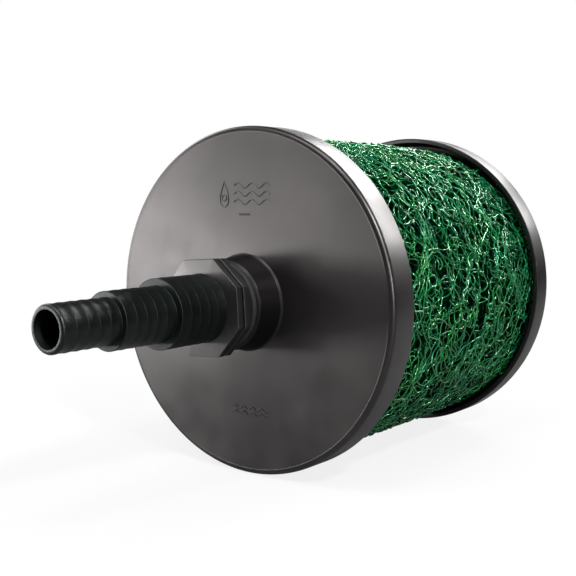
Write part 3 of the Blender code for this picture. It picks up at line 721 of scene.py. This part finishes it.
def wander(rng, strands):
    """Paths of curling strands between two radii: an array of (strand, point, xyz)."""
    front, rear, taper = mat_space()
    count, step, inner, outer = strands.count, strands.step, strands.inner, strands.outer
    angle = GOLDEN_ANGLE * np.arange(count) + rng.normal(0, 0.03, count)
    y = front + (rear - front) * (np.arange(count) + rng.uniform(0, 1, count)) / count
    radius = rng.uniform(inner, outer, count)
    heading = rng.normal(0, 0.6, count) + math.pi * rng.integers(0, 2, count)
    if strands.settle == 0:
        heading = rng.uniform(0, FULL_TURN, count)
    curl = rng.normal(0, strands.curl, count)
    rise = rng.normal(0, strands.rise, count)
    loose = np.where(rng.random(count) < LOOSE_SHARE, LOOSE_REACH, 0.0)
    kick = math.sqrt(2 * step / STRAND_MEMORY)
    paths = np.empty((count, int(strands.length / step), 3))
    for k in range(paths.shape[1]):
        paths[:, k] = np.stack([radius * np.cos(angle), y, radius * np.sin(angle)], 1)
        curl += -curl * step / STRAND_MEMORY + strands.curl * kick * rng.normal(size=count)
        rise += -rise * step / STRAND_MEMORY + strands.rise * kick * rng.normal(size=count)
        along_taper = np.clip((y - MAT_TAPER_START) / (rear - MAT_TAPER_START), 0, 1)
        drawn_in = taper * (1 - MAT_SAG + MAT_SAG * np.sin(angle)) * along_taper
        limit = np.minimum(outer - drawn_in + loose, outer)
        floor = np.minimum(inner, limit - MM)
        rise -= np.maximum(radius - limit + WALL_MARGIN, 0) * step * WALL_PUSH
        rise += np.maximum(floor + WALL_MARGIN - radius, 0) * step * WALL_PUSH
        rise = np.clip(rise, -STRAND_STEEPEST, STRAND_STEEPEST)
        heading += (curl - strands.settle * np.sin(2 * heading)) * step
        angle += np.cos(heading) * step / radius
        y += np.sin(heading) * step
        radius = np.clip(radius + rise * step, floor, limit)
        outside = (y < front) | (y > rear)
        heading = np.where(outside, -heading, heading)
        y = np.clip(y, front, rear)
    return paths


def tubes(paths, radii, sides):
    """Thin tubes along the paths: points, the faces of their sides and the faces of their ends."""
    count, steps, _ = paths.shape
    along = np.gradient(paths, axis=1)
    along /= np.linalg.norm(along, axis=2, keepdims=True) + 1e-12
    outward = paths * np.array([1, 0, 1])
    across = np.cross(along, outward)
    across /= np.linalg.norm(across, axis=2, keepdims=True) + 1e-12
    up = np.cross(across, along)
    turn = FULL_TURN * np.arange(sides) / sides
    ring = across[:, :, None] * np.cos(turn)[:, None] + up[:, :, None] * np.sin(turn)[:, None]
    points = paths[:, :, None] + ring * radii[:, None, None, None]
    base = np.arange(count)[:, None, None] * steps * sides
    here = base + np.arange(steps - 1)[None, :, None] * sides
    side = np.arange(sides)[None, None, :]
    nxt = (side + 1) % sides
    quads = np.stack([here + side, here + nxt, here + sides + nxt, here + sides + side], -1)
    start = base[:, 0] + side[0, :, ::-1]
    end = base[:, 0] + (steps - 1) * sides + side[0]
    return points.reshape(-1, 3), quads.reshape(-1, 4), np.concatenate([start, end])


def fibre_mesh(name, points, quads, caps, tones, finish):
    """One piece of the mat as a mesh with a tone on every point."""
    mesh = bpy.data.meshes.new(name)
    corners = np.concatenate([quads.ravel(), caps.ravel()]).astype(np.int32)
    sizes = np.concatenate([np.full(len(quads), 4), np.full(len(caps), caps.shape[1])])
    starts = np.concatenate([[0], np.cumsum(sizes)[:-1]]).astype(np.int32)
    mesh.vertices.add(len(points))
    mesh.vertices.foreach_set("co", points.astype(np.float32).ravel())
    mesh.loops.add(len(corners))
    mesh.loops.foreach_set("vertex_index", corners)
    mesh.polygons.add(len(sizes))
    mesh.polygons.foreach_set("loop_start", starts)
    mesh.update(calc_edges=True)
    mesh.validate()
    mesh.shade_smooth()
    mesh.attributes.new("tone", "FLOAT", "POINT").data.foreach_set("value", tones.astype(np.float32))
    return placed(name, mesh, finish, "mat_pack")


def make_mat(finish):
    """The mat as curling strands in layers, cut into pieces of a size that other programs can take."""
    rng = np.random.default_rng(MAT_SEED)
    number = 0
    for strands in MAT_LAYERS:
        paths = wander(rng, strands)
        radii = strands.radius * rng.uniform(0.75, 1.2, strands.count)
        tone = rng.uniform(0, 1, strands.count)
        points_each = paths.shape[1] * STRAND_SIDES
        per_piece = int(MAT_LIMIT / (points_each * 2))
        for first in range(0, strands.count, per_piece):
            part = slice(first, first + per_piece)
            points, quads, caps = tubes(paths[part], radii[part], STRAND_SIDES)
            tones = np.repeat(tone[part], points_each)
            number += 1
            obj = fibre_mesh(f"mat_fibre_{number}", points, quads, caps, tones, finish)
            if number == 1:
                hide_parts("filter_mat")


# ---- cage, spring, knob and the rest -----------------------------------------------------------
def make_cage(finish):
    """Slotted tube with rounded slots, made of equal cells round the CAD cage's rows of slots."""
    spots = np.array([vertex.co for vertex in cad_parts["core_cage"].data.vertices])
    rows = np.unique(spots[:, 1].round(5))
    starts, ends = rows[1:-1:2], rows[2:-1:2]
    borders = np.concatenate([rows[:1], (ends[:-1] + starts[1:]) / 2, rows[-1:]])
    radii = np.hypot(spots[:, 0], spots[:, 2])
    outer, inner = radii.max(), radii.min()
    cell = FULL_TURN / CAGE_COLUMNS
    # matching points of a square edge and of the rounded slot in it
    run = np.linspace(-1, 1, 9)[:-1]
    one = np.ones(len(run))
    across = np.concatenate([run, one, -run, -one])
    along = np.concatenate([-one, run, one, -run])
    power = CAGE_SLOT_SQUARENESS
    bulge = (np.abs(across) ** power + np.abs(along) ** power) ** (1 / power)
    count, last = len(across), len(starts) - 1
    points, faces = [], []
    for column in range(CAGE_COLUMNS):
        middle = cell * (column + CAGE_FIRST)
        for k, (start, end) in enumerate(zip(starts, ends)):
            low, high = borders[k], borders[k + 1]
            edge = middle + across * cell / 2, (low + high) / 2 + along * (high - low) / 2
            slot = middle + across / bulge * cell / 4, (start + end) / 2 + along / bulge * (end - start) / 2
            base = len(points)
            for (turn, y), radius in ((edge, outer), (slot, outer), (slot, inner), (edge, inner)):
                points += list(zip(radius * np.cos(turn), y, radius * np.sin(turn)))
            for s in range(count):
                t = (s + 1) % count
                for here in (base, base + count, base + 2 * count):
                    faces.append((here + s, here + t, here + count + t, here + count + s))
                on_tube_end = (k == 0 and along[s] < 0) or (k == last and along[s] > 0)
                if on_tube_end and along[s] == along[t]:
                    faces.append((base + s, base + t, base + 3 * count + t, base + 3 * count + s))
    cage = mesh_object("core_cage_moulding", points, faces, finish, "housing", "inner_plastic")
    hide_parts("core_cage")


def make_spring(finish):
    """Round-wire spring with closed ends, as long as the CAD spring."""
    low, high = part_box("return_spring")
    length = high.y - low.y
    wire, turns, per_turn, sides = 0.7 * MM, 7, 40, 10
    mean = high.x - wire
    closed = 2.2 * wire         # rise of the first turn and of the last
    open_rise = (length - 2 * wire) - 2 * closed
    turn = np.arange(turns * per_turn + 1) / per_turn
    rise = np.minimum(turn, 1) * closed
    rise += np.clip(turn - 1, 0, turns - 2) / (turns - 2) * open_rise
    rise += np.maximum(turn - 1 - (turns - 2), 0) * closed
    angle = FULL_TURN * turn
    path = np.stack([mean * np.cos(angle), low.y + wire + rise, mean * np.sin(angle)], 1)
    points, quads, caps = tubes(path[None], np.array([wire]), sides)
    mesh = bpy.data.meshes.new("return_spring_wire")
    mesh.from_pydata(points.tolist(), [], quads.tolist() + caps.tolist())
    mesh.shade_smooth()
    spring = placed("return_spring_wire", mesh, finish, "housing")
    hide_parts("return_spring")
    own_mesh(spring)


def make_knob(finish):
    """The lobed hand knob."""

    def shape(angles, y, radius):
        if radius < KNOB_CORE:
            return np.full(len(angles), radius)
        return radius - KNOB_LOBE_DEPTH * (1 - np.cos(KNOB_LOBES * angles)) / 2

    loop = rounded(outline_of("clamp_knob"), KNOB_ROUNDING)
    knob = turned("clamp_knob_moulding", loop, KNOB_SEGMENTS, finish, "knob", "cap_plastic", shape)
    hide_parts("clamp_knob")


def finish_kept_nodes(finishes):
    """Finishes for the CAD nodes that stay, with their sharp edges eased."""
    for node, slot in KEPT_NODES.items():
        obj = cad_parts[node]
        obj.data.materials.clear()
        obj.data.materials.append(finishes[slot])
        weld = obj.modifiers.new("weld", "WELD")
        weld.merge_threshold = 1e-6
        bevel = obj.modifiers.new("bevel", "BEVEL")
        bevel.width = 0.15 * MM
        bevel.segments = 2
        bevel.limit_method = "ANGLE"
        bevel.angle_limit = math.radians(35)


# ---- stage -------------------------------------------------------------------------------------
def direction(azimuth, elevation):
    """The way towards a place in the studio. Both angles are in radians."""
    level = math.cos(elevation)
    return Vector((math.sin(azimuth) * level, -math.cos(azimuth) * level, math.sin(elevation)))


def add_light(box):
    """One soft box, turned towards the object."""
    data = bpy.data.lights.new(box.name, "AREA")
    data.shape = "RECTANGLE"
    data.size, data.size_y = box.width, box.height
    data.energy = box.power
    light = bpy.data.objects.new(box.name, data)
    towards = direction(math.radians(box.azimuth), math.radians(box.elevation))
    light.location = LIGHT_AIM + towards * box.distance
    light.rotation_euler = (-towards).to_track_quat("-Z", "Y").to_euler()
    bpy.context.scene.collection.objects.link(light)


def make_world():
    """White behind the object for the camera, and dim for everything the light touches."""
    world = bpy.data.worlds.new("studio")
    bpy.context.scene.world = world
    world.use_nodes = True
    nodes, links = world.node_tree.nodes, world.node_tree.links
    nodes.clear()
    seen, dim = nodes.new("ShaderNodeBackground"), nodes.new("ShaderNodeBackground")
    seen.inputs["Color"].default_value = (1, 1, 1, 1)
    dim.inputs["Color"].default_value = (0.004, 0.004, 0.004, 1)
    path, mix = nodes.new("ShaderNodeLightPath"), nodes.new("ShaderNodeMixShader")
    links.new(path.outputs["Is Camera Ray"], mix.inputs[0])
    links.new(dim.outputs[0], mix.inputs[1])
    links.new(seen.outputs[0], mix.inputs[2])
    links.new(mix.outputs[0], nodes.new("ShaderNodeOutputWorld").inputs["Surface"])


def floor_finish(middle):
    """Pale and dull, and for the camera turning to plain white away from a middle under the object."""
    finish = Finish("floor", 0.9)
    nodes, links = finish.nodes, finish.links
    seen = nodes.new("ShaderNodeLightPath").outputs["Is Camera Ray"]
    finish.set("Base Color", finish.blend(seen, (0.2, 0.2, 0.2), (0.4, 0.4, 0.4)))
    away = finish.vector("DISTANCE", finish.place, middle).outputs["Value"]
    white = finish.spread(away, 0.12, 0.42, 0.84, 1.0)
    mix = nodes.new("ShaderNodeMixShader")
    links.new(finish.maths("MULTIPLY", seen, white), mix.inputs[0])
    links.new(finish.shader.outputs[0], mix.inputs[1])
    links.new(nodes.new("ShaderNodeEmission").outputs[0], mix.inputs[2])
    links.new(mix.outputs[0], nodes["Material Output"].inputs["Surface"])
    return finish.material


def make_floor():
    """Floor just under the object's lowest point."""
    low, high = cad_bounds
    middle = (low + high) / 2
    size = 3.0
    corners = [(-size, -size), (size, -size), (size, size), (-size, size)]
    mesh = bpy.data.meshes.new("floor")
    mesh.from_pydata([(x, y, low.z - 0.2 * MM) for x, y in corners], [], [(0, 1, 2, 3)])
    mesh.materials.append(floor_finish((middle.x, middle.y, low.z)))
    floor = bpy.data.objects.new("floor", mesh)
    bpy.context.scene.collection.objects.link(floor)


def make_camera():
    """Camera to the right of the hose tail and a little above it."""
    right = Vector((math.cos(CAMERA_AZIMUTH), math.sin(CAMERA_AZIMUTH), 0))
    forward = -direction(CAMERA_AZIMUTH, CAMERA_ELEVATION)
    up = right.cross(forward)
    _, rim = front_face()
    disc = Vector((0, rim[0], 0))
    data = bpy.data.cameras.new("camera")
    data.lens = CAMERA_LENS
    data.clip_start, data.clip_end = 0.01, 20
    camera = bpy.data.objects.new("camera", data)
    camera.location = disc + CAMERA_RIGHT * right + CAMERA_UP * up - CAMERA_DISTANCE * forward
    camera.rotation_euler = forward.to_track_quat("-Z", "Y").to_euler()
    bpy.context.scene.collection.objects.link(camera)
    bpy.context.scene.camera = camera


def make_studio():
    bpy.context.scene.view_settings.view_transform = "Standard"
    make_world()
    make_floor()
    for box in SOFT_BOXES:
        add_light(box)
    make_camera()


def build():
    finishes = make_finishes()
    make_front_cap(finishes["front_cap_plastic"])
    make_marks(finishes["front_cap_plastic"])
    make_rear_cap(finishes["cap_plastic"])
    make_hose_tail(finishes["tail_plastic"])
    make_knob(finishes["cap_plastic"])
    make_spring(finishes["stainless"])
    make_cage(finishes["inner_plastic"])
    for node, (body, slot) in FINER_NODES.items():
        turned_again(node, finishes[slot], body, slot)
    finish_kept_nodes(finishes)
    make_mat(finishes["green_fibre"])
    make_studio()


build()
